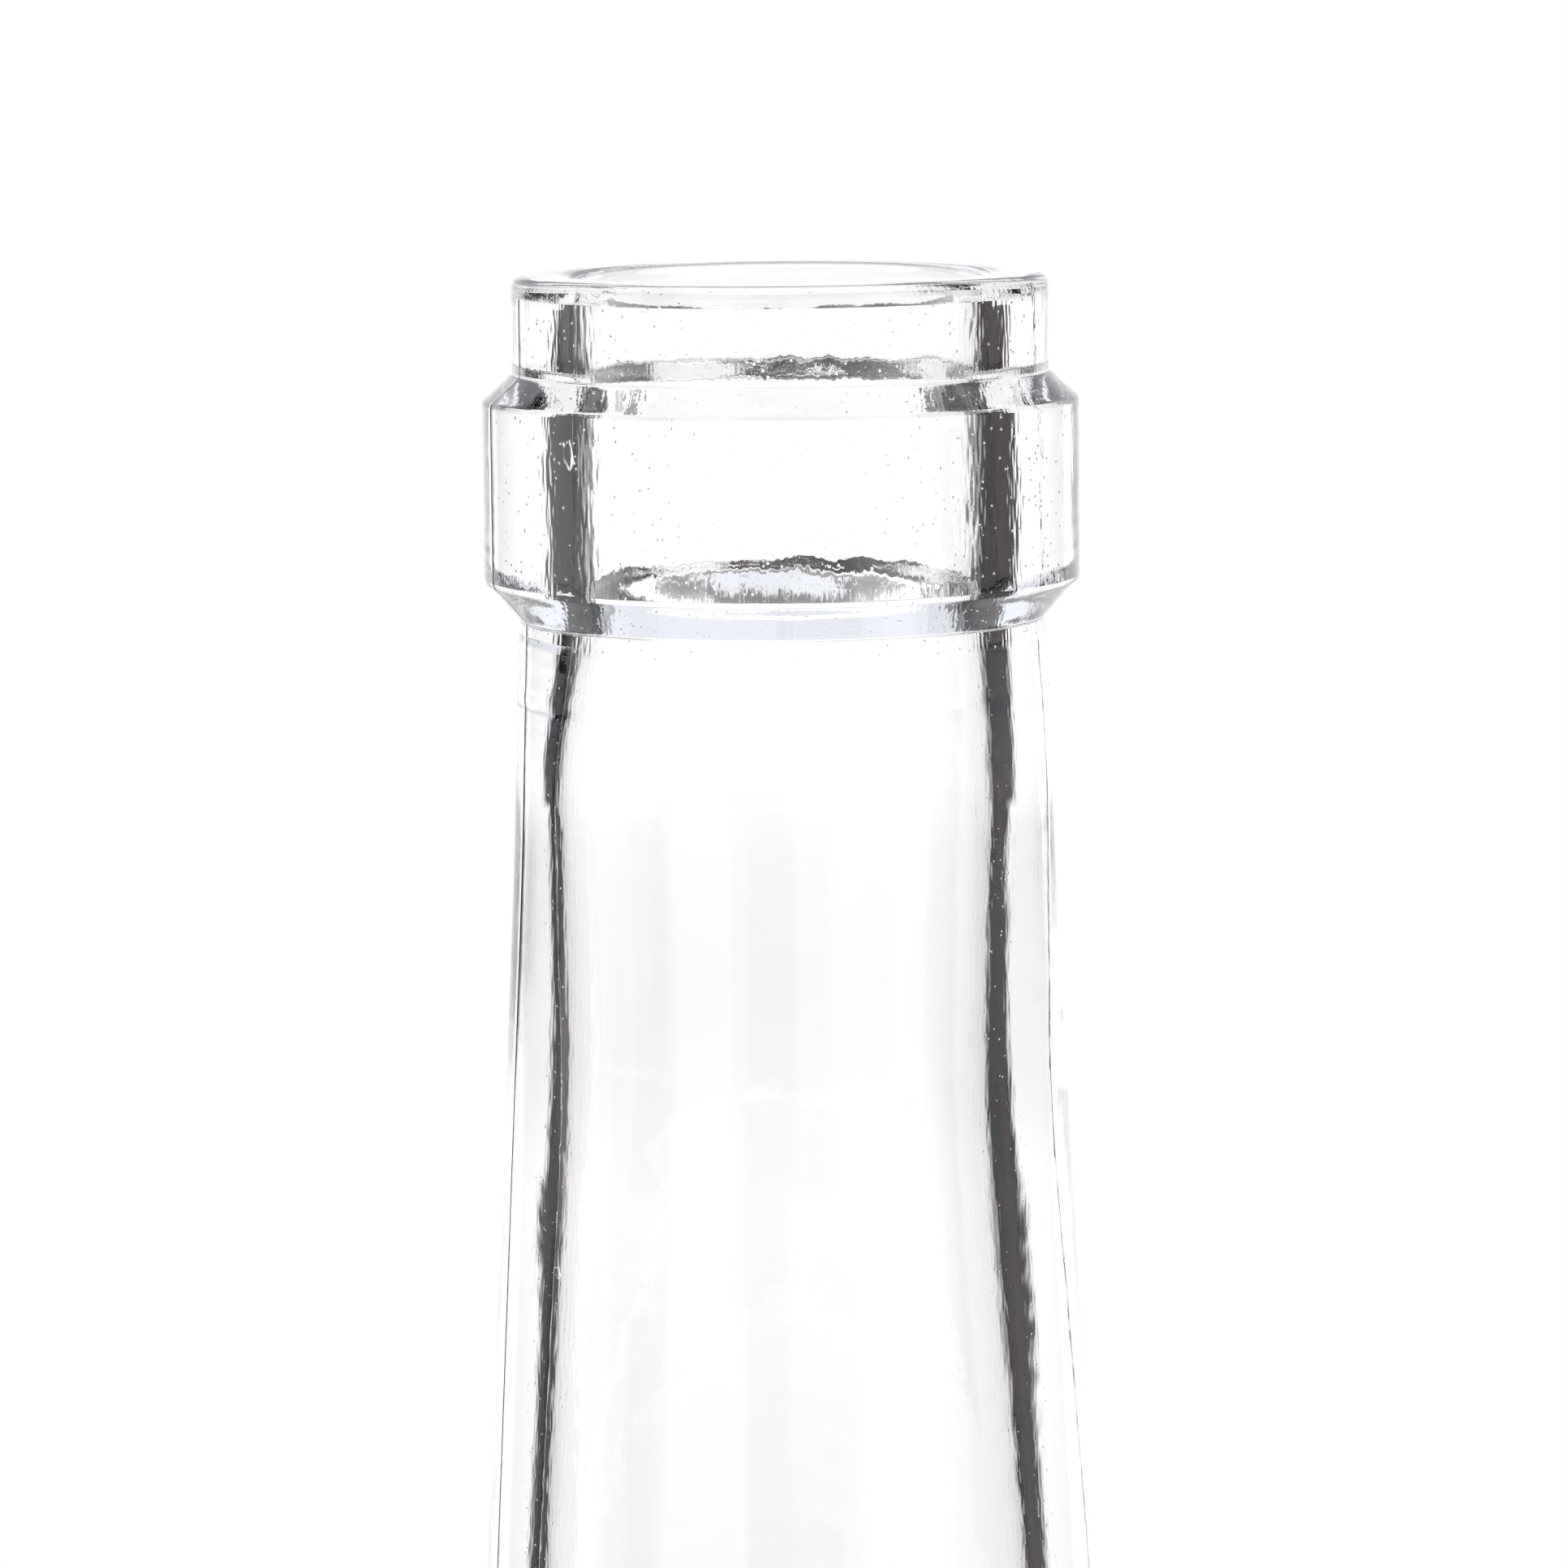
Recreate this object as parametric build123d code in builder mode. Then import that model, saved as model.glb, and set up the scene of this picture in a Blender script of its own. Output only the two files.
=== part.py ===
# Clear glass bottle with a stepped finish and a plain bore, and the push-in stopper that fits it.
# Frame: origin at the middle of the base on the bottle's axis, +Z up, millimetres.
# The bottle stands on its base ring. The stopper stands beside it, upside down, on the same surface.
import os
from math import atan2, tan

from build123d import *

# Bottle, overall
bottle_height = 258.0
body_radius = 34.0
body_wall = 2.8

# Finish, from the lip down: lip ring, slope out to the collar, collar, slope in to the neck
lip_radius = 14.0
lip_wall = 3.6
lip_height = 5.1
lip_outer_rounding = 0.7
lip_inner_rounding = 0.6
collar_step = 1.56
collar_step_drop = 1.4
collar_height = 9.4
collar_edge_rounding = 0.25
neck_step = 1.76
neck_step_drop = 1.9

# Bore, from the lip down: straight for the stopper, then a flare to the neck's wider bore
bore_depth = 17.4
flare_drop = 8.6
flare_bend = 3.0
neck_bore_straight = 20.0

# Neck: a slight taper down to the waist, then a steeper one down to the foot
waist_gain = 0.42
waist_drop = 13.2
waist_bend = 4.0
foot_gain = 3.18
foot_drop = 62.0
upper_neck_wall = 2.72
lower_neck_wall = 2.9

# Shoulder: a hollow arc and a crowned arc, each on its own part of the slope between neck and body
shoulder_drop = 46.0
hollow_share = 0.49
crown_share = 0.49

# Base
heel_radius = 8.0
ring_width = 3.0
push_up_height = 5.0
floor_thickness = 4.5
inner_heel_radius = 6.0

# Stopper
head_overhang = 1.2
head_height = 12.0
head_top_rounding = 1.6
head_lower_rounding = 0.5
shank_squeeze = 0.5
shank_length = 18.0
shank_end_chamfer = 1.2
tenon_step = 2.4
tenon_length = 2.5
stopper_gap = 12.0

# Radii worked out from the lip's and the body's
bore_radius = lip_radius - lip_wall
collar_radius = lip_radius + collar_step
neck_top_radius = collar_radius - neck_step
waist_radius = neck_top_radius + waist_gain
foot_radius = waist_radius + foot_gain
neck_bore_radius = waist_radius - upper_neck_wall
inner_body_radius = body_radius - body_wall
inner_floor_radius = inner_body_radius - inner_heel_radius
ring_outer_radius = body_radius - heel_radius
ring_inner_radius = ring_outer_radius - ring_width

# Heights worked out from the lip down, and the floor's from the base up
lip_bottom = bottle_height - lip_height
collar_top = lip_bottom - collar_step_drop
collar_bottom = collar_top - collar_height
neck_top = collar_bottom - neck_step_drop
waist = neck_top - waist_drop
foot = waist - foot_drop
shoulder = foot - shoulder_drop
bore_bottom = bottle_height - bore_depth
flare_bottom = bore_bottom - flare_drop
neck_bore_bottom = flare_bottom - neck_bore_straight
floor_top = push_up_height + floor_thickness

# Stopper sizes worked out from the finish
head_radius = lip_radius + head_overhang
shank_radius = bore_radius + shank_squeeze
tenon_radius = shank_radius - tenon_step
tenon_bottom = head_height - tenon_length
stopper_x = body_radius + stopper_gap + head_radius

os.makedirs("parts", exist_ok=True)


def bend_radius(before, corner, after, bend_length):
    # The radius of the arc that starts and ends bend_length away from a corner of an outline.
    heading_in = atan2(corner[1] - before[1], corner[0] - before[0])
    heading_out = atan2(after[1] - corner[1], after[0] - corner[0])
    return bend_length / tan(abs(heading_out - heading_in) / 2)


def slant(upper, lower):
    return ((lower[0] - upper[0]) ** 2 + (lower[1] - upper[1]) ** 2) ** 0.5


# ---- bottle: one glass moulding, an outside turned about the axis less an inside ----

outer_neck = [
    (neck_top_radius, neck_top),
    (waist_radius, waist),
    (foot_radius, foot),
    (body_radius, shoulder),
    (body_radius, heel_radius),
]
outer_slope = slant(outer_neck[2], outer_neck[3])

inner_neck = [
    (bore_radius, bottle_height),
    (bore_radius, bore_bottom),
    (neck_bore_radius, flare_bottom),
    (neck_bore_radius, neck_bore_bottom),
    (foot_radius - lower_neck_wall, foot),
    (inner_body_radius, shoulder),
    (inner_body_radius, floor_top + inner_heel_radius),
]
inner_slope = slant(inner_neck[4], inner_neck[5])

with BuildPart() as bottle:
    with BuildSketch(Plane.XZ):
        with BuildLine():
            FilletPolyline(
                (0, bottle_height),
                (lip_radius, bottle_height),
                (lip_radius, lip_bottom),
                (collar_radius, collar_top),
                (collar_radius, collar_bottom),
                *outer_neck,
                radius=(
                    lip_outer_rounding,
                    0,
                    collar_edge_rounding,
                    collar_edge_rounding,
                    0,
                    bend_radius(*outer_neck[0:3], waist_bend),
                    bend_radius(*outer_neck[1:4], hollow_share * outer_slope),
                    bend_radius(*outer_neck[2:5], crown_share * outer_slope),
                ),
            )
            TangentArc((body_radius, heel_radius), (ring_outer_radius, 0), tangent=(0, -1))
            Line((ring_outer_radius, 0), (ring_inner_radius, 0))
            TangentArc((0, push_up_height), (ring_inner_radius, 0), tangent=(1, 0))
            Line((0, push_up_height), (0, bottle_height))
        make_face()
    revolve(axis=Axis.Z)
    with BuildSketch(Plane.XZ):
        with BuildLine():
            FilletPolyline(
                (0, bottle_height),
                *inner_neck,
                radius=(
                    0,
                    bend_radius(*inner_neck[0:3], flare_bend),
                    bend_radius(*inner_neck[1:4], flare_bend),
                    bend_radius(*inner_neck[2:5], waist_bend),
                    bend_radius(*inner_neck[3:6], hollow_share * inner_slope),
                    bend_radius(*inner_neck[4:7], crown_share * inner_slope),
                ),
            )
            TangentArc(inner_neck[6], (inner_floor_radius, floor_top), tangent=(0, -1))
            Line((inner_floor_radius, floor_top), (0, floor_top))
            Line((0, floor_top), (0, bottle_height))
        make_face()
    revolve(axis=Axis.Z, mode=Mode.SUBTRACT)
    lip_circles = bottle.edges().filter_by(GeomType.CIRCLE).group_by(Axis.Z)[-1]
    fillet(lip_circles.sort_by(SortBy.RADIUS)[0], radius=lip_inner_rounding)

bottle.part.label = "bottle"


# ---- stopper: a head that rests on the lip, and a shank that the bore grips, glued in by its tenon ----

with BuildPart() as stopper_head:
    with BuildSketch(Plane.XY):
        with Locations((stopper_x, 0)):
            Circle(head_radius)
    extrude(amount=head_height)
    fillet(stopper_head.edges().group_by(Axis.Z)[0], radius=head_top_rounding)
    fillet(stopper_head.edges().group_by(Axis.Z)[-1], radius=head_lower_rounding)
    with BuildSketch(Plane.XY.offset(tenon_bottom)):
        with Locations((stopper_x, 0)):
            Circle(tenon_radius)
    extrude(amount=tenon_length, mode=Mode.SUBTRACT)

stopper_head.part.label = "stopper_head"

with BuildPart() as stopper_shank:
    with BuildSketch(Plane.XY.offset(head_height)):
        with Locations((stopper_x, 0)):
            Circle(shank_radius)
    extrude(amount=shank_length)
    chamfer(stopper_shank.edges().group_by(Axis.Z)[-1], length=shank_end_chamfer)
    with BuildSketch(Plane.XY.offset(tenon_bottom)):
        with Locations((stopper_x, 0)):
            Circle(tenon_radius)
    extrude(amount=tenon_length)

stopper_shank.part.label = "stopper_shank"

export_step(bottle.part, "parts/bottle.step")
export_step(stopper_head.part, "parts/stopper_head.step")
export_step(stopper_shank.part, "parts/stopper_shank.step")
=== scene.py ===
import math

import bpy
import numpy as np
from mathutils import Euler, Matrix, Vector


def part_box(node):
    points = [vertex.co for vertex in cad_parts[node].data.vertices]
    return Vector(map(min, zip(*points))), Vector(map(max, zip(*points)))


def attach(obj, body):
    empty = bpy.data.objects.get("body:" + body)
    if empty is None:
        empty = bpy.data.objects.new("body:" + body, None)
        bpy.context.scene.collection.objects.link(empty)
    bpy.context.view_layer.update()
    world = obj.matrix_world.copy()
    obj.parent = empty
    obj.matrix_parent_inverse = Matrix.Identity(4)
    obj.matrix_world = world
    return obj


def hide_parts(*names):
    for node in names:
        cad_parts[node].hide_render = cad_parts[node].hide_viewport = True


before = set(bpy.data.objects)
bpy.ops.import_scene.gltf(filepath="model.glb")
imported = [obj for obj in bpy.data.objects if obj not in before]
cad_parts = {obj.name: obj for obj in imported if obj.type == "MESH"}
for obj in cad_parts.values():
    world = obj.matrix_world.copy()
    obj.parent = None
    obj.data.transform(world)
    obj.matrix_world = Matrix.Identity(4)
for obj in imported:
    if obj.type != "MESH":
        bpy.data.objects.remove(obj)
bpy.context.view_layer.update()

mm = 0.001
turn = 2 * math.pi


def linear(hexColour):
    # sRGB hex to the linear colour that shaders want
    rgb = np.array([int(hexColour[i:i + 2], 16) for i in (1, 3, 5)]) / 255
    rgb = np.where(rgb <= 0.04045, rgb / 12.92, ((rgb + 0.055) / 1.055) ** 2.4)
    return (*rgb.tolist(), 1.0)


def add(tree, kind, inputs=(), **settings):
    # one node with its settings; an input is a socket to link or a value to set
    node = tree.nodes.new(kind)
    for name, value in settings.items():
        setattr(node, name, value)
    for name, value in dict(inputs).items():
        if isinstance(value, bpy.types.NodeSocket):
            tree.links.new(value, node.inputs[name])
        else:
            node.inputs[name].default_value = value
    return node


def newMaterial(name):
    material = bpy.data.materials.new(name)
    material.use_nodes = True
    material.node_tree.nodes.clear()
    return material, material.node_tree


def fillRamp(node, stops):
    # stops are (place 0..1, linear colour)
    ramp = node.color_ramp
    while len(ramp.elements) < len(stops):
        ramp.elements.new(0.5)
    for element, (place, colour) in zip(ramp.elements, stops):
        element.position = place
        element.color = colour


def meshPiece(name, verts, faces, smooth=True):
    # numpy arrays of corners and quads or triangles into one object at the origin
    mesh = bpy.data.meshes.new(name)
    mesh.from_pydata(verts.tolist(), [], [f.tolist() for f in faces])
    mesh.polygons.foreach_set("use_smooth", np.full(len(mesh.polygons), smooth))
    mesh.update()
    piece = bpy.data.objects.new(name, mesh)
    bpy.context.scene.collection.objects.link(piece)
    return piece


def roundedOutline(corners):
    # Corners are (radius, height, bend, step). The outline runs straight between corners, and at each one an arc
    # starts and ends 'bend' away from it. Points stand about 'step' apart, up to that corner and round it.
    spots = np.array([c[:2] for c in corners], float)
    points = [spots[:1]]
    for i in range(1, len(corners)):
        here, bend, step = spots[i], corners[i][2], corners[i][3]
        incoming = here - spots[i - 1]
        incoming /= np.linalg.norm(incoming)
        start = here - incoming * bend
        count = max(1, round(np.linalg.norm(start - points[-1][-1]) / step))
        share = np.linspace(0, 1, count + 1)[1:, None]
        points.append(points[-1][-1] + (start - points[-1][-1]) * share)
        if bend == 0 or i == len(corners) - 1:
            continue
        outgoing = spots[i + 1] - here
        outgoing /= np.linalg.norm(outgoing)
        angle = math.acos(np.clip(incoming @ outgoing, -1, 1))
        radius = bend / math.tan(angle / 2)   # of an arc that touches both runs
        side = np.sign(incoming[0] * outgoing[1] - incoming[1] * outgoing[0])
        across = np.array([-incoming[1], incoming[0]]) * side
        count = max(4, round(radius * angle / step))
        a = np.linspace(0, angle, count + 1)[1:, None]
        points.append(start + incoming * radius * np.sin(a) + across * radius * (1 - np.cos(a)))
    outline = np.concatenate(points)
    keep = np.r_[True, np.linalg.norm(np.diff(outline, axis=0), axis=1) > 1e-6]
    return outline[keep]


def turnedSurface(name, rings):
    # Rings is (rows, columns, 3), a grid of row along the outline and angle round the axis. Quads join each row to
    # the next and wrap round, and fans of triangles close the first and the last row to a point each.
    rows, columns = rings.shape[:2]
    first, last = rings[0].mean(axis=0), rings[-1].mean(axis=0)
    verts = np.concatenate([rings.reshape(-1, 3), first[None], last[None]])
    r, c = np.meshgrid(np.arange(rows - 1), np.arange(columns), indexing="ij")
    nextC = (c + 1) % columns
    quads = np.stack([r * columns + c, r * columns + nextC,
                      (r + 1) * columns + nextC, (r + 1) * columns + c], -1)
    ring = np.arange(columns)
    ringNext = (ring + 1) % columns
    fanLow = np.stack([np.full(columns, rows * columns), ringNext, ring], -1)
    base = (rows - 1) * columns
    fanHigh = np.stack([np.full(columns, rows * columns + 1), base + ring, base + ringNext], -1)
    return meshPiece(name, verts, [*quads.reshape(-1, 4), *fanLow, *fanHigh])


# the camera stands a little above the lip and looks slightly down, in a long lens
shot = dict(distance=350.0, aboveLip=17.9, pitch=7.277, roll=-0.53, lens=154.5, sensor=36.0, near=10.0, far=50000.0)


def makeCamera():
    data = bpy.data.cameras.new("camera")
    data.lens, data.sensor_width = shot["lens"], shot["sensor"]
    data.clip_start, data.clip_end = shot["near"] * mm, shot["far"] * mm
    camera = bpy.data.objects.new("camera", data)
    bpy.context.scene.collection.objects.link(camera)
    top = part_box("bottle")[1].z
    look = Euler((math.radians(90 - shot["pitch"]), 0, 0)).to_matrix()
    tilt = Matrix.Rotation(math.radians(shot["roll"]), 3, "Z")
    camera.rotation_euler = (look @ tilt).to_euler()
    camera.location = (0, -shot["distance"] * mm, top + shot["aboveLip"] * mm)
    bpy.context.scene.camera = camera


# azimuths run from straight behind the bottle towards +X, in degrees
studio = dict(
    # where no panel stands, from and to which azimuth: high up, lower, and lowest
    gaps=[(39, 96), (176, 238), (286, 321)],
    midGaps=[(39, 117), (153, 255), (286, 321)],
    lowGaps=[(45, 117), (153, 255), (282, 315)],
    midFrom=-4.5, lowFrom=-7.5, lowSoftness=0.9,          # the elevations below which they take over
    lowEnd=-18.5,                                         # pale again from here down
    gapSoftness=2.5, edgeSoftness=1.2,
    clothFrom=8, clothTo=18,                              # between these a panel turns a little cooler
    panelTop=30, overheadFrom=46,                         # the dark ceiling between panels and overhead cloth
    panel="#FFFFFF", panelGain=1.24, panelLowGain=1.06, panelLow=-14, panelHigh=-5.5,
    sideLoss=0.06, sideFrom=5, sideTo=32,                 # the back panel is dimmer away from its middle
    gap="#1F1F21", gapWarm="#3D2827", roomScale=9.0, warmFrom=0.55, warmTo=0.72,
    cloth="#EBF0F9", clothGain=1.08, overhead="#FFFFFF", overheadGain=1.3,
)


def makeWorld():
    world = bpy.data.worlds.new("studio")
    bpy.context.scene.world = world
    world.use_nodes = True
    tree = world.node_tree
    tree.nodes.clear()
    place = add(tree, "ShaderNodeTexCoord").outputs["Generated"]
    way = add(tree, "ShaderNodeSeparateXYZ", {0: place}).outputs
    azimuth = add(tree, "ShaderNodeMath", {0: way["X"], 1: way["Y"]}, operation="ARCTAN2").outputs[0]
    around = add(tree, "ShaderNodeMapRange", {
        "Value": azimuth, "From Min": -math.pi, "From Max": math.pi}).outputs[0]
    rise = add(tree, "ShaderNodeMath", {0: way["Z"]}, operation="ARCSINE").outputs[0]

    def between(low, high, kind="SMOOTHSTEP"):
        # 0 below the first elevation in degrees and 1 above the second
        return add(tree, "ShaderNodeMapRange", {
            "Value": rise, "From Min": math.radians(low), "From Max": math.radians(high),
        }, interpolation_type=kind).outputs[0]

    def blend(factor, low, high):
        return add(tree, "ShaderNodeMix", {0: factor, 6: low, 7: high}, data_type="RGBA").outputs[2]

    def glow(hexColour, gain):
        return [v * gain for v in linear(hexColour)[:3]] + [1]

    soft = studio["gapSoftness"] / 360
    bright, dark = (1, 1, 1, 1), (0, 0, 0, 1)

    def standing(gaps):
        # 1 where a panel stands and 0 in the gaps, going round
        stops = []
        for start, end in gaps:
            start, end = (start + 180) % 360 / 360, (end + 180) % 360 / 360
            stops += [(start - soft, bright), (start + soft, dark), (end - soft, dark), (end + soft, bright)]
            if start > end:   # this gap runs across the place where the turn begins
                stops += [(0, dark), (1, dark)]
        ramp = add(tree, "ShaderNodeValToRGB", {"Fac": around})
        fillRamp(ramp, sorted(stops, key=lambda s: s[0]))
        return ramp.outputs["Color"]

    edge = studio["edgeSoftness"]
    panels = blend(between(studio["midFrom"] - edge, studio["midFrom"] + edge),
                   standing(studio["midGaps"]), standing(studio["gaps"]))
    lowEdge = studio["lowSoftness"]
    panels = blend(between(studio["lowFrom"] - lowEdge, studio["lowFrom"] + lowEdge),
                   standing(studio["lowGaps"]), panels)
    panels = blend(between(studio["lowEnd"] - edge, studio["lowEnd"] + edge), bright, panels)
    panel = blend(between(studio["panelLow"], studio["panelHigh"], "LINEAR"),
                  glow(studio["panel"], studio["panelLowGain"]), glow(studio["panel"], studio["panelGain"]))
    aside = add(tree, "ShaderNodeMath", {0: azimuth}, operation="ABSOLUTE").outputs[0]
    aside = add(tree, "ShaderNodeMapRange", {
        "Value": aside, "From Min": math.radians(studio["sideFrom"]), "From Max": math.radians(studio["sideTo"]),
        "To Min": 1.0, "To Max": 1 - studio["sideLoss"]}).outputs[0]
    panel = add(tree, "ShaderNodeVectorMath", {0: panel, "Scale": aside}, operation="SCALE").outputs[0]
    panel = blend(between(studio["clothFrom"], studio["clothTo"]), panel,
                  glow(studio["cloth"], studio["clothGain"]))
    # the dark room seen through the gaps is not one tone
    room = add(tree, "ShaderNodeTexNoise", {
        "Vector": place, "Scale": studio["roomScale"], "Detail": 1.0}).outputs["Fac"]
    room = add(tree, "ShaderNodeMapRange", {
        "Value": room, "From Min": studio["warmFrom"], "From Max": studio["warmTo"]}).outputs[0]
    gap = blend(room, linear(studio["gap"]), linear(studio["gapWarm"]))
    whole = blend(panels, gap, panel)
    whole = blend(between(studio["panelTop"], studio["panelTop"] + 2 * edge), whole, gap)   # the dark ceiling
    whole = blend(between(studio["overheadFrom"], studio["overheadFrom"] + 2 * edge), whole,
                  glow(studio["overhead"], studio["overheadGain"]))
    lit = add(tree, "ShaderNodeBackground", {"Color": whole})
    plain = add(tree, "ShaderNodeBackground", {"Color": bright})
    seen = add(tree, "ShaderNodeLightPath").outputs["Is Camera Ray"]
    mix = add(tree, "ShaderNodeMixShader", {0: seen, 1: lit.outputs[0], 2: plain.outputs[0]})
    add(tree, "ShaderNodeOutputWorld", {"Surface": mix.outputs[0]})


# sizes in mm; the paper turns into a lit white sweep between fadeFrom and fadeTo
floorPlan = dict(radius=720.0, fadeFrom=170.0, fadeTo=330.0, pale="#F1F2F4", glow=1.0, columns=96)


def makeFloor():
    a = np.arange(floorPlan["columns"]) * turn / floorPlan["columns"]
    rim = np.stack([np.cos(a), np.sin(a), np.zeros_like(a)], -1) * floorPlan["radius"] * mm
    floor = meshPiece("floor", rim, [np.arange(floorPlan["columns"])], smooth=False)
    material, tree = newMaterial("matte table paper")
    place = add(tree, "ShaderNodeTexCoord").outputs["Object"]
    reach = add(tree, "ShaderNodeVectorMath", {0: place}, operation="LENGTH").outputs["Value"]
    fade = add(tree, "ShaderNodeMapRange", {
        "Value": reach, "From Min": floorPlan["fadeFrom"] * mm, "From Max": floorPlan["fadeTo"] * mm,
    }, interpolation_type="SMOOTHSTEP").outputs[0]
    paper = add(tree, "ShaderNodeBsdfDiffuse", {"Color": linear(floorPlan["pale"])})
    glow = add(tree, "ShaderNodeEmission", {"Color": (1, 1, 1, 1), "Strength": floorPlan["glow"]})
    mix = add(tree, "ShaderNodeMixShader", {0: fade, 1: paper.outputs[0], 2: glow.outputs[0]})
    add(tree, "ShaderNodeOutputMaterial", {"Surface": mix.outputs[0]})
    floor.data.materials.append(material)


# painted shade: dark flags lie flat on the table where the gaps are, and thin out at their edges; only the glass sees
# them, as a fixed dark glow
flagPlan = dict(
    # colour and fleck are the two dark tones of the painted shade, mottled at random
    lift=0.5, columns=33, rows=13, edgeWidth=9.0, edgeTurn=2.5, shadeMottleSize=6.0, colour="#29292A", fleck="#2B2A2C",
    # inner and outer reach in mm, then from and to which azimuth
    spans=[(295, 425, 44, 96), (304, 362, 290, 309), (430, 700, 60, 112), (430, 700, 160, 245)],
)


def makeFlags():
    k = flagPlan
    material, tree = newMaterial("painted shade card seen only by the glass")
    shadeMottle = add(tree, "ShaderNodeTexNoise", {
        "Vector": add(tree, "ShaderNodeTexCoord").outputs["Object"],
        "Scale": 1 / (k["shadeMottleSize"] * mm), "Detail": 2.0}).outputs["Fac"]
    tone = add(tree, "ShaderNodeValToRGB", {"Fac": shadeMottle})
    fillRamp(tone, [(0.3, linear(k["fleck"])), (0.7, linear(k["colour"]))])
    # an unlit glow in a fixed dark tone: painted shade that only the glass sees
    shade = add(tree, "ShaderNodeEmission", {"Color": tone.outputs["Color"], "Strength": 1.0})
    clear = add(tree, "ShaderNodeBsdfTransparent", {"Color": (1, 1, 1, 1)})
    cover = add(tree, "ShaderNodeAttribute", attribute_name="cover").outputs["Fac"]
    mix = add(tree, "ShaderNodeMixShader", {0: cover, 1: clear.outputs[0], 2: shade.outputs[0]})
    add(tree, "ShaderNodeOutputMaterial", {"Surface": mix.outputs[0]})

    def spread(start, end, soft, count):
        # points from start to end with two close ones over each soft edge, and the cover there, 0 outside, 1 within
        points = np.r_[start - soft, np.linspace(start + soft, end - soft, count), end + soft]
        return points, np.r_[0, np.ones(count), 0]

    for number, (inner, outer, start, end) in enumerate(k["spans"]):
        reach, coverOut = spread(inner, outer, k["edgeWidth"], k["rows"])
        angle, coverRound = spread(start, end, k["edgeTurn"], k["columns"])
        r, a = np.meshgrid(reach, np.radians(angle), indexing="ij")
        verts = np.stack([r * np.sin(a), r * np.cos(a), np.full_like(r, k["lift"])], -1).reshape(-1, 3) * mm
        rows, columns = r.shape
        i, j = np.meshgrid(np.arange(rows - 1), np.arange(columns - 1), indexing="ij")
        corner = i * columns + j
        quads = np.stack([corner, corner + 1, corner + columns + 1, corner + columns], -1).reshape(-1, 4)
        flag = meshPiece(f"flag_{number}", verts, list(quads[:, ::-1]), smooth=False)
        share = (coverOut[:, None] * coverRound[None]).ravel()
        flag.data.attributes.new("cover", "FLOAT", "POINT").data.foreach_set("value", share)
        flag.visible_camera = flag.visible_diffuse = flag.visible_shadow = False
        flag.data.materials.append(material)


# the bottle is one glass skin, outside and inside; sizes in mm, and depths run down from the lip
glass = dict(
    lipRadius=14.0, lipHeight=5.1, lipOuterBend=0.7, lipInnerBend=1.25, lipLine=1.1,
    collarRadius=15.56, collarTop=6.5, collarBottom=15.9, collarBend=0.22,
    lowerSlopeRadius=14.9, lowerSlopeDepth=16.5,
    neckTop=17.8, neckTopRadius=13.8, waist=31.0, waistRadius=14.22,
    foot=93.0, footRadius=17.4, shoulder=139.0, bodyRadius=33.97, bodyWall=2.8,
    boreRadius=10.4, boreDepth=17.4, neckBore=26.0, neckBoreRadius=11.45,
    neckBoreEnd=43.5, neckBoreEndRadius=11.12, footWall=2.9,
    heel=8.0, ringWidth=3.0, pushUp=5.0, floorThickness=4.5, innerHeel=6.0,
    slopeShare=0.49,                                      # of the shoulder's run that each of its two bends takes
    columns=250, seamColumns=8,
    seamAngle=196.5, seamHeight=0.022, seamWidth=0.09, seamSpread=1.6,
    neckRelief=0.3, slopeRelief=0.5, outsideRelief=0.04,  # how strong the unevenness is, against 1 inside the lip
    finishEnd=18.9,                                       # and the depth where that full strength ends
    ringLine=21.7, ringLineRadius=13.94, ringLineHeight=0.05, ringLineWidth=0.3, ringLineStep=0.6,
    boreShift=-0.31, boreShiftFrom=18.0, boreShiftFull=25.0, boreShiftFade=52.0, boreShiftEnd=95.0,
    middleShare=0.06,                                     # the hole that the closing fans fill, of the base's radius
)


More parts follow.
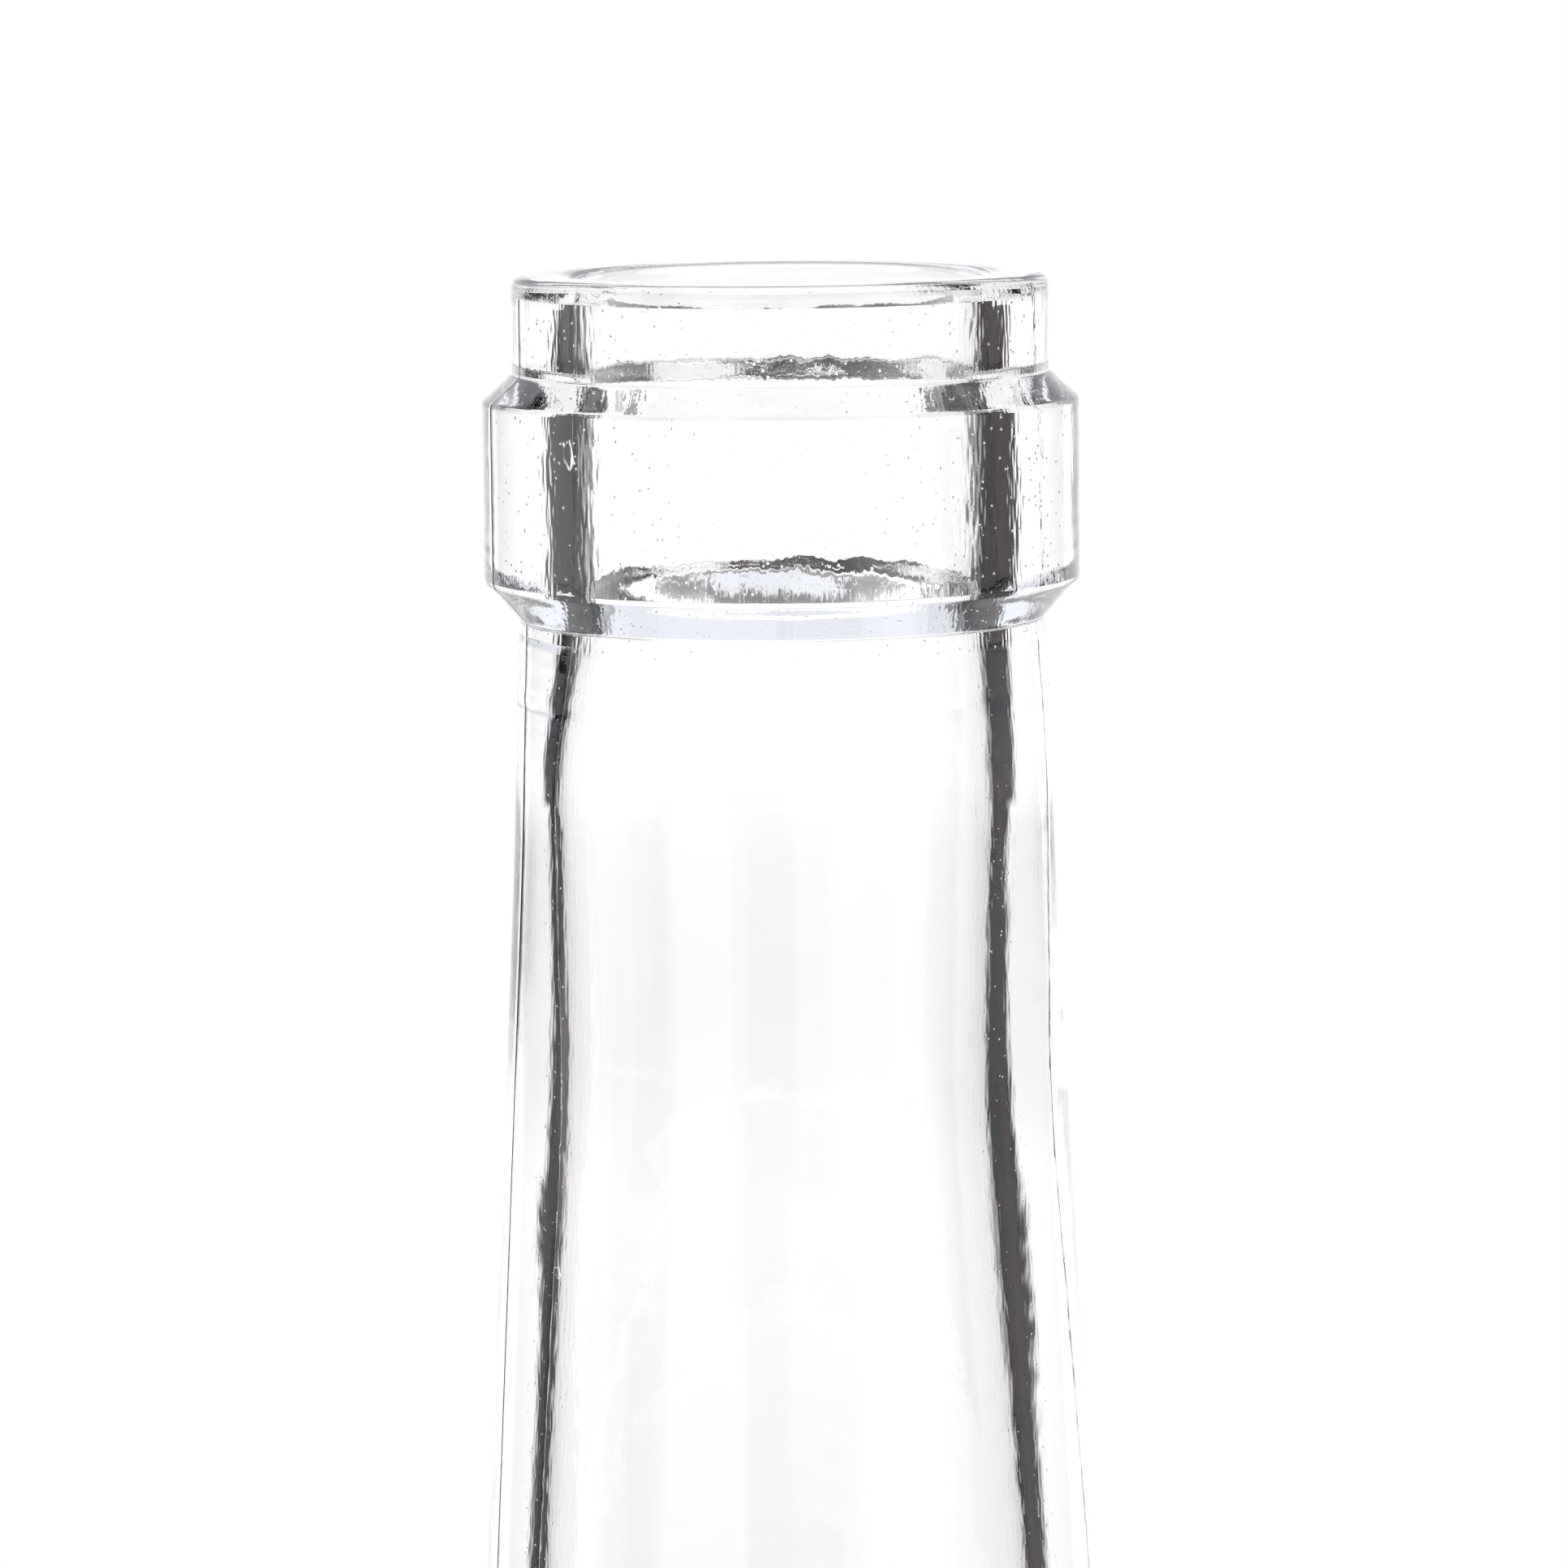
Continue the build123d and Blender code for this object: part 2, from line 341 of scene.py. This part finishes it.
def glassOutline():
    g = glass
    h = (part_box("bottle")[1].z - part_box("bottle")[0].z) / mm
    slope = math.hypot(g["bodyRadius"] - g["footRadius"], g["shoulder"] - g["foot"]) * g["slopeShare"]
    ringOuter = g["bodyRadius"] - g["heel"]
    ringInner = ringOuter - g["ringWidth"]
    # The push-up is a cap of a sphere that meets the ring's inner edge. The heels are quarter circles. Between them
    # each side is a run of corners with rounded bends, up the outside, over the lip and down the inside.
    a = np.linspace(g["middleShare"], 1, 10)
    dome = (ringInner ** 2 + g["pushUp"] ** 2) / (2 * g["pushUp"])
    reach = ringInner * a
    pushUp = np.stack([reach, g["pushUp"] - dome + np.sqrt(dome ** 2 - reach ** 2)], -1)
    ring = roundedOutline([(ringInner, 0, 0, 1), (ringOuter, 0, 0, 1.5)])
    q = np.linspace(0, math.pi / 2, 13)[1:]
    heel = np.stack([ringOuter + g["heel"] * np.sin(q), g["heel"] * (1 - np.cos(q))], -1)
    wall = roundedOutline([
        (g["bodyRadius"], g["heel"], 0, 1),
        (g["bodyRadius"], h - g["shoulder"], slope, 6),
        (g["footRadius"], h - g["foot"], slope, 3),
        (g["waistRadius"], h - g["waist"], 4, 1.3),
        (g["ringLineRadius"], h - g["ringLine"] - g["ringLineStep"], 0.1, 0.8),
        (g["neckTopRadius"], h - g["neckTop"], 0.12, 0.24),
        (g["lowerSlopeRadius"], h - g["lowerSlopeDepth"], 0.3, 0.28),
        (g["collarRadius"], h - g["collarBottom"], g["collarBend"], 0.28),
        (g["collarRadius"], h - g["collarTop"], g["collarBend"], 0.6),
        (g["lipRadius"], h - g["lipHeight"], 0.12, 0.25),
        (g["lipRadius"], h, g["lipOuterBend"], 0.22),
        (g["boreRadius"], h, g["lipInnerBend"], 0.4),
        (g["boreRadius"], h - g["boreDepth"], 3, 0.5),
        (g["neckBoreRadius"], h - g["neckBore"], 3, 0.7),
        (g["neckBoreEndRadius"], h - g["neckBoreEnd"], 4, 1.0),
        (g["footRadius"] - g["footWall"], h - g["foot"], slope, 1.4),
        (g["bodyRadius"] - g["bodyWall"], h - g["shoulder"], slope, 4),
        (g["bodyRadius"] - g["bodyWall"], g["pushUp"] + g["floorThickness"] + g["innerHeel"], 0, 7),
    ])
    floorTop = g["pushUp"] + g["floorThickness"]
    innerWall = g["bodyRadius"] - g["bodyWall"]
    q = np.linspace(0, math.pi / 2, 9)[1:]
    innerHeel = np.stack([innerWall - g["innerHeel"] * (1 - np.cos(q)),
                          floorTop + g["innerHeel"] * (1 - np.sin(q))], -1)
    floorReach = (innerWall - g["innerHeel"]) * np.linspace(1, g["middleShare"], 8)[1:]
    inside = np.stack([floorReach, np.full_like(floorReach, floorTop)], -1)
    outline = np.concatenate([pushUp, ring[1:], heel, wall[1:], innerHeel, inside])
    atBore = (outline[:, 0] < g["boreRadius"] + 0.001) & (outline[:, 1] > h - 2 * g["lipInnerBend"])
    isInside = np.arange(len(outline)) >= np.flatnonzero(atBore)[0]   # from where the outline first meets the bore
    return outline, isInside, h


def seamAngles():
    # even columns, plus a few close ones at each of the two mould seams so that the ridge has a shape
    g = glass
    even = np.arange(g["columns"]) * turn / g["columns"]
    near = np.linspace(-g["seamSpread"], g["seamSpread"], g["seamColumns"]) * g["seamWidth"] / g["lipRadius"]
    seams = np.radians([g["seamAngle"], g["seamAngle"] - 180])
    close = (seams[:, None] + near[None]).ravel() % turn
    gap = np.abs((even[:, None] - seams[None] + math.pi) % turn - math.pi).min(axis=1)
    even = even[gap > near.max() + 0.3 * turn / g["columns"]]
    return np.sort(np.concatenate([even, close])), seams


def makeBottle():
    # Each ring is a circle of the outline's radius. The outside is pushed out along its normal by a bell curve across
    # each mould seam and another across the ring line.
    g = glass
    outline, isInside, h = glassOutline()
    angles, seams = seamAngles()
    radius, height = outline[:, 0], outline[:, 1]
    tangent = np.gradient(outline, axis=0)
    tangent /= np.linalg.norm(tangent, axis=1)[:, None]
    normal = np.stack([tangent[:, 1], -tangent[:, 0]], -1)   # to the right of travel, out of the glass
    gap = (angles[None] - seams[:, None] + math.pi) % turn - math.pi
    arc = np.abs(gap).min(axis=0)[None] * radius[:, None]
    onWall = (~isInside & (height > 0.5) & (height < h - g["lipLine"]))[:, None]
    push = g["seamHeight"] * np.exp(-(arc / g["seamWidth"]) ** 2) * onWall
    depth = (h - height)[:, None]
    push = push + g["ringLineHeight"] * np.exp(-((depth - g["ringLine"]) / g["ringLineWidth"]) ** 2) * onWall
    rings = np.empty((len(outline), len(angles), 3))
    reach = radius[:, None] + normal[:, :1] * push
    rings[..., 0] = reach * np.cos(angles)
    rings[..., 1] = reach * np.sin(angles)
    # the parison blew a little off centre, so one side of the neck is thicker than the other
    stations = [g["boreShiftFrom"], g["boreShiftFull"], g["boreShiftFade"], g["boreShiftEnd"]]
    share = np.interp(depth[:, 0], stations, [0, 1, 1, 0])
    rings[..., 0] += (g["boreShift"] * share * isInside)[:, None]
    rings[..., 2] = height[:, None] + normal[:, 1:] * push
    bottle = turnedSurface("glass_bottle", rings * mm)
    # how much of the inside's ripple each ring of the skin carries
    finish = depth[:, 0] < g["finishEnd"]
    relief = np.where(isInside, np.where(finish, 1.0, g["neckRelief"]), g["outsideRelief"])
    # the two slopes of the collar: between the lip and the neck, a tenth of a mm over, but not the collar's face
    onSlope = ~isInside & (depth[:, 0] > g["lipHeight"] - 0.1) & (depth[:, 0] < g["neckTop"] + 0.1)
    onSlope &= np.abs(radius - g["collarRadius"]) > 0.05
    relief[onSlope] = g["slopeRelief"]
    relief = np.append(np.repeat(relief, len(angles)), [0, 0])
    bottle.data.attributes.new("relief", "FLOAT", "POINT").data.foreach_set("value", relief)
    tris = sum(len(p.vertices) - 2 for p in bottle.data.polygons)
    print("bottle rows", len(outline), "columns", len(angles), "triangles", tris)
    bottle.data.materials.append(clearGlass())
    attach(bottle, "bottle")
    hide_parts("bottle")


# sizes in mm; depths are from top to bottom of each kind of unevenness
glassGrain = dict(
    rippleWidth=0.2, rippleLength=0.95, rippleDepth=0.008,
    swellSize=1.7, swellDepth=0.03,
    pitSpacing=0.5, pitSize=0.085, pitDepth=0.03,
    # blisters: where each one is, how wide, how tall and how deep
    blisters=[(-10.75, -11.25, 249.5, 0.42, 0.85, 0.06), (-11.9, -9.5, 207.2, 0.3, 0.35, 0.05)],
    blisterRim=(1.05, 1.3), blisterWobble=0.8, blisterWobbleScale=1.1,   # in shares of a blister's own width
    tint="#FFFEFE", ior=1.52,
)


def clearGlass():
    # soda-lime flint glass, blown in an iron mould: colourless and fire-bright, so only its edges show,
    # and the chilled inside breaks those edges up into upright streaks and sparks
    k = glassGrain
    material, tree = newMaterial("soda-lime flint glass")
    place = add(tree, "ShaderNodeTexCoord").outputs["Object"]

    def times(value, factor):
        return add(tree, "ShaderNodeMath", {0: value, 1: factor}, operation="MULTIPLY").outputs[0]

    def plus(first, second):
        return add(tree, "ShaderNodeMath", {0: first, 1: second}, operation="ADD").outputs[0]

    upright = add(tree, "ShaderNodeMapping", {
        "Vector": place, "Scale": (1, 1, k["rippleWidth"] / k["rippleLength"])}).outputs[0]
    ripple = add(tree, "ShaderNodeTexNoise", {
        "Vector": upright, "Scale": 1 / (k["rippleWidth"] * mm), "Detail": 0.0}).outputs["Fac"]
    swell = add(tree, "ShaderNodeTexNoise", {
        "Vector": place, "Scale": 1 / (k["swellSize"] * mm), "Detail": 0.0}).outputs["Fac"]
    spots = add(tree, "ShaderNodeTexVoronoi", {"Vector": place, "Scale": 1 / (k["pitSpacing"] * mm)})
    pit = add(tree, "ShaderNodeMapRange", {
        "Value": spots.outputs["Distance"], "From Min": 0.0, "From Max": k["pitSize"] / k["pitSpacing"]},
        interpolation_type="SMOOTHSTEP").outputs[0]
    height = plus(times(ripple, k["rippleDepth"]), times(swell, k["swellDepth"]))
    relief = add(tree, "ShaderNodeAttribute", attribute_name="relief").outputs["Fac"]
    height = times(plus(height, times(times(pit, relief), k["pitDepth"])), relief)
    for x, y, z, wide, tall, deep in k["blisters"]:
        middle = add(tree, "ShaderNodeVectorMath", {
            0: place, 1: (x * mm, y * mm, z * mm)}, operation="SUBTRACT").outputs[0]
        stretched = add(tree, "ShaderNodeVectorMath", {
            0: middle, 1: (1 / (wide * mm), 1 / (wide * mm), 1 / (tall * mm))}, operation="MULTIPLY").outputs[0]
        wobble = add(tree, "ShaderNodeTexNoise", {
            "Vector": stretched, "Scale": k["blisterWobbleScale"], "Detail": 0.0}).outputs["Fac"]
        reach = add(tree, "ShaderNodeVectorMath", {0: stretched}, operation="LENGTH").outputs["Value"]
        dome = add(tree, "ShaderNodeMapRange", {
            "Value": plus(reach, times(wobble, k["blisterWobble"])),
            "From Min": k["blisterRim"][0], "From Max": k["blisterRim"][1]},
            interpolation_type="SMOOTHSTEP").outputs[0]
        height = plus(height, times(dome, deep))
    bump = add(tree, "ShaderNodeBump", {"Height": height, "Strength": 1.0, "Distance": mm})
    shader = add(tree, "ShaderNodeBsdfPrincipled", {
        "Base Color": linear(k["tint"]), "Transmission Weight": 1.0, "IOR": k["ior"], "Roughness": 0.0,
        "Normal": bump.outputs["Normal"],
    })
    add(tree, "ShaderNodeOutputMaterial", {"Surface": shader.outputs[0]})
    return material


# sizes in mm; the grain runs along Y
beech = dict(
    bandSpacing=1.9, bandWander=2.2, fleckWidth=0.35, fleckShare=0.14, cloudSize=7.0,
    early="#C39466", late="#B28055", cloud="#C99F74", fleck="#7C4F31",
    fleckFrom=0.6, fleckTo=0.74, fleckStrength=0.8,
    roughness=(0.36, 0.52), bumpStrength=0.7, poreDepth=0.03,
)


def turnedBeech():
    # oiled beech turned on a lathe: warm and even, with growth bands and the short dark flecks that mark beech
    k = beech
    material, tree = newMaterial("oiled turned beech")
    place = add(tree, "ShaderNodeTexCoord").outputs["Object"]
    # a wave texture of scale 1 repeats every 0.314 of its own units
    bands = add(tree, "ShaderNodeTexWave", {
        "Vector": place, "Scale": 0.314 / (k["bandSpacing"] * mm), "Distortion": k["bandWander"],
        "Detail": 2.0, "Detail Scale": 0.6}).outputs["Fac"]
    # flecks are 1 / fleckShare times as long as wide
    along = add(tree, "ShaderNodeMapping", {"Vector": place, "Scale": (1.0, k["fleckShare"], 1.0)}).outputs[0]
    fleck = add(tree, "ShaderNodeTexNoise", {
        "Vector": along, "Scale": 1 / (k["fleckWidth"] * mm), "Detail": 2.0}).outputs["Fac"]
    cloud = add(tree, "ShaderNodeTexNoise", {
        "Vector": place, "Scale": 1 / (k["cloudSize"] * mm), "Detail": 2.0}).outputs["Fac"]
    ground = add(tree, "ShaderNodeMix", {
        0: bands, 6: linear(k["early"]), 7: linear(k["late"])}, data_type="RGBA").outputs[2]
    ground = add(tree, "ShaderNodeMix", {
        0: cloud, 6: ground, 7: linear(k["cloud"])}, data_type="RGBA").outputs[2]
    dark = add(tree, "ShaderNodeMapRange", {
        "Value": fleck, "From Min": k["fleckFrom"], "From Max": k["fleckTo"],
        "To Max": k["fleckStrength"]}).outputs[0]
    tone = add(tree, "ShaderNodeMix", {
        0: dark, 6: ground, 7: linear(k["fleck"])}, data_type="RGBA").outputs[2]
    gloss = add(tree, "ShaderNodeMapRange", {
        "Value": fleck, "To Min": k["roughness"][0], "To Max": k["roughness"][1]}).outputs[0]
    bump = add(tree, "ShaderNodeBump", {
        "Height": fleck, "Strength": k["bumpStrength"], "Distance": k["poreDepth"] * mm}).outputs["Normal"]
    shader = add(tree, "ShaderNodeBsdfPrincipled", {"Base Color": tone, "Roughness": gloss, "Normal": bump})
    add(tree, "ShaderNodeOutputMaterial", {"Surface": shader.outputs[0]})
    return material


# sizes in mm
corkGrain = dict(
    granule=1.5, wobbleSize=1.1, wobble=0.7, fineSize=0.3, fineDepth=0.12, bumpStrength=0.8,
    tans=[(0.0, "#7D5736"), (0.13, "#A87D50"), (0.45, "#BD9262"), (0.8, "#CBA476"), (1.0, "#9C6E45")],
    bark="#6B482C", barkWidth=0.09, barkStrength=0.75, roughness=(0.78, 0.95),
)


def pressedCork():
    # agglomerated cork: dull granules of 1 to 2 mm in several tans, pressed together with dark bark in the seams
    k = corkGrain
    material, tree = newMaterial("agglomerated cork")
    place = add(tree, "ShaderNodeTexCoord").outputs["Object"]
    wobble = add(tree, "ShaderNodeTexNoise", {
        "Vector": place, "Scale": 1 / (k["wobbleSize"] * mm), "Detail": 2.0}).outputs["Color"]
    wobble = add(tree, "ShaderNodeVectorMath", {
        0: wobble, "Scale": k["wobble"] * mm}, operation="SCALE").outputs[0]
    place = add(tree, "ShaderNodeVectorMath", {0: place, 1: wobble}, operation="ADD").outputs[0]
    size = 1 / (k["granule"] * mm)
    grain = add(tree, "ShaderNodeSeparateColor", {
        0: add(tree, "ShaderNodeTexVoronoi", {"Vector": place, "Scale": size}).outputs["Color"]}).outputs
    seam = add(tree, "ShaderNodeTexVoronoi", {
        "Vector": place, "Scale": size}, feature="DISTANCE_TO_EDGE").outputs["Distance"]
    tone = add(tree, "ShaderNodeValToRGB", {"Fac": grain[0]})
    fillRamp(tone, [(at, linear(tan)) for at, tan in k["tans"]])
    inSeam = add(tree, "ShaderNodeMapRange", {
        "Value": seam, "From Min": 0.0, "From Max": k["barkWidth"],
        "To Min": k["barkStrength"], "To Max": 0.0}).outputs[0]
    colour = add(tree, "ShaderNodeMix", {
        0: inSeam, 6: tone.outputs[0], 7: linear(k["bark"])}, data_type="RGBA").outputs[2]
    fine = add(tree, "ShaderNodeTexNoise", {
        "Vector": place, "Scale": 1 / (k["fineSize"] * mm), "Detail": 2.0}).outputs["Fac"]
    dull = add(tree, "ShaderNodeMapRange", {
        "Value": fine, "To Min": k["roughness"][0], "To Max": k["roughness"][1]}).outputs[0]
    bump = add(tree, "ShaderNodeBump", {
        "Height": fine, "Strength": k["bumpStrength"], "Distance": k["fineDepth"] * mm}).outputs["Normal"]
    shader = add(tree, "ShaderNodeBsdfPrincipled", {"Base Color": colour, "Roughness": dull, "Normal": bump})
    add(tree, "ShaderNodeOutputMaterial", {"Surface": shader.outputs[0]})
    return material


# sizes in mm; the stopper stands upside down, so the head's top is at the bottom
head = dict(topRounding=1.6, lowerRounding=0.5, socketRadius=8.5, socketDepth=2.5,
            turningDepth=0.012, turningPitch=0.9, middle=0.6, columns=160)


def makeHead():
    # a turned disc with a socket for the shank: each ring is a circle of the outline's radius
    k = head
    low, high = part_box("stopper_head")
    radius, tall = (high.x - low.x) / 2 / mm, (high.z - low.z) / mm
    outline = roundedOutline([
        (k["middle"], 0, 0, 0.4), (radius, 0, k["topRounding"], 0.3), (radius, tall, k["lowerRounding"], 0.12),
        (k["socketRadius"], tall, 0, 0.3), (k["socketRadius"], tall - k["socketDepth"], 0, 0.5),
        (k["middle"], tall - k["socketDepth"], 0, 0.6),
    ])
    # the gouge leaves faint ridges round the side: a cosine of the height, cut into the wood
    onSide = np.abs(outline[:, 0] - radius) < 1e-6
    cut = k["turningDepth"] * (1 + np.cos(outline[:, 1] * turn / k["turningPitch"])) * onSide
    angles = np.arange(k["columns"]) * turn / k["columns"]
    rings = np.empty((len(outline), k["columns"], 3))
    rings[..., 0] = (outline[:, 0] - cut)[:, None] * np.cos(angles)
    rings[..., 1] = (outline[:, 0] - cut)[:, None] * np.sin(angles)
    rings[..., 2] = outline[:, 1:]
    rings += [(low.x + high.x) / 2 / mm, (low.y + high.y) / 2 / mm, low.z / mm]
    piece = turnedSurface("beech_head", rings * mm)
    piece.data.materials.append(turnedBeech())
    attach(piece, "stopper")
    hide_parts("stopper_head")


cork = dict(tenonRadius=8.5, tenonLength=2.5, endChamfer=1.2, endBend=0.12,
            pores=520, poresOnSide=0.75, poreDepth=(0.06, 0.3), poreSize=(0.25, 0.85),
            middle=0.6, columns=300, seed=5)


def makeShank():
    # a turned plug with a thinner tenon below, made like the head, with pores sunk into its skin
    k = cork
    low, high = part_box("stopper_shank")
    radius, tall = (high.x - low.x) / 2 / mm, (high.z - low.z) / mm
    outline = roundedOutline([
        (k["middle"], 0, 0, 0.6), (k["tenonRadius"], 0, 0, 0.6), (k["tenonRadius"], k["tenonLength"], 0, 0.6),
        (radius, k["tenonLength"], 0, 0.4), (radius, tall - k["endChamfer"], k["endBend"], 0.25),
        (radius - k["endChamfer"], tall, k["endBend"], 0.25), (k["middle"], tall, 0, 0.3),
    ])
    angles = np.arange(k["columns"]) * turn / k["columns"]
    rings = np.empty((len(outline), k["columns"], 3))
    rings[..., 0] = outline[:, :1] * np.cos(angles)
    rings[..., 1] = outline[:, :1] * np.sin(angles)
    rings[..., 2] = outline[:, 1:]
    # pores are bowls sunk along the normal round random spots: depth x (1 - (distance / size) squared)
    rng = np.random.default_rng(k["seed"])
    onSide = rng.random(k["pores"]) < k["poresOnSide"]
    way = rng.uniform(0, turn, k["pores"])
    reach = np.where(onSide, radius, radius * np.sqrt(rng.random(k["pores"])))
    spots = np.stack([reach * np.cos(way), reach * np.sin(way),
                      np.where(onSide, rng.uniform(k["tenonLength"] + 0.5, tall, k["pores"]), tall)], -1)
    size = rng.uniform(*k["poreSize"], k["pores"])
    deep = rng.uniform(*k["poreDepth"], k["pores"])
    skin = rings.reshape(-1, 3)
    sunk = np.zeros(len(skin))
    for spot, wide, depth in zip(spots, size, deep):
        near = np.linalg.norm(skin - spot, axis=1) / wide
        sunk = np.maximum(sunk, depth * np.clip(1 - near ** 2, 0, 1))
    sunk *= skin[:, 2] > k["tenonLength"] + 0.2
    rows = sunk.reshape(rings.shape[:2])
    tangent = np.gradient(outline, axis=0)
    tangent /= np.linalg.norm(tangent, axis=1)[:, None]
    rings[..., 0] -= rows * tangent[:, 1:] * np.cos(angles)
    rings[..., 1] -= rows * tangent[:, 1:] * np.sin(angles)
    rings[..., 2] += rows * tangent[:, :1]
    rings += [(low.x + high.x) / 2 / mm, (low.y + high.y) / 2 / mm, low.z / mm]
    piece = turnedSurface("cork_shank", rings * mm)
    piece.data.materials.append(pressedCork())
    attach(piece, "stopper")
    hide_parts("stopper_shank")


scene = bpy.context.scene
scene.view_settings.view_transform = "Standard"
# light that is trapped in the glass turns many corners before it leaves
scene.cycles.max_bounces = 40
scene.cycles.transmission_bounces = 40
scene.cycles.glossy_bounces = 32
makeCamera()
print("camera set")
makeWorld()
makeFloor()
makeFlags()
print("studio set")
makeBottle()
print("glass bottle made")
makeHead()
makeShank()
print("stopper finished")
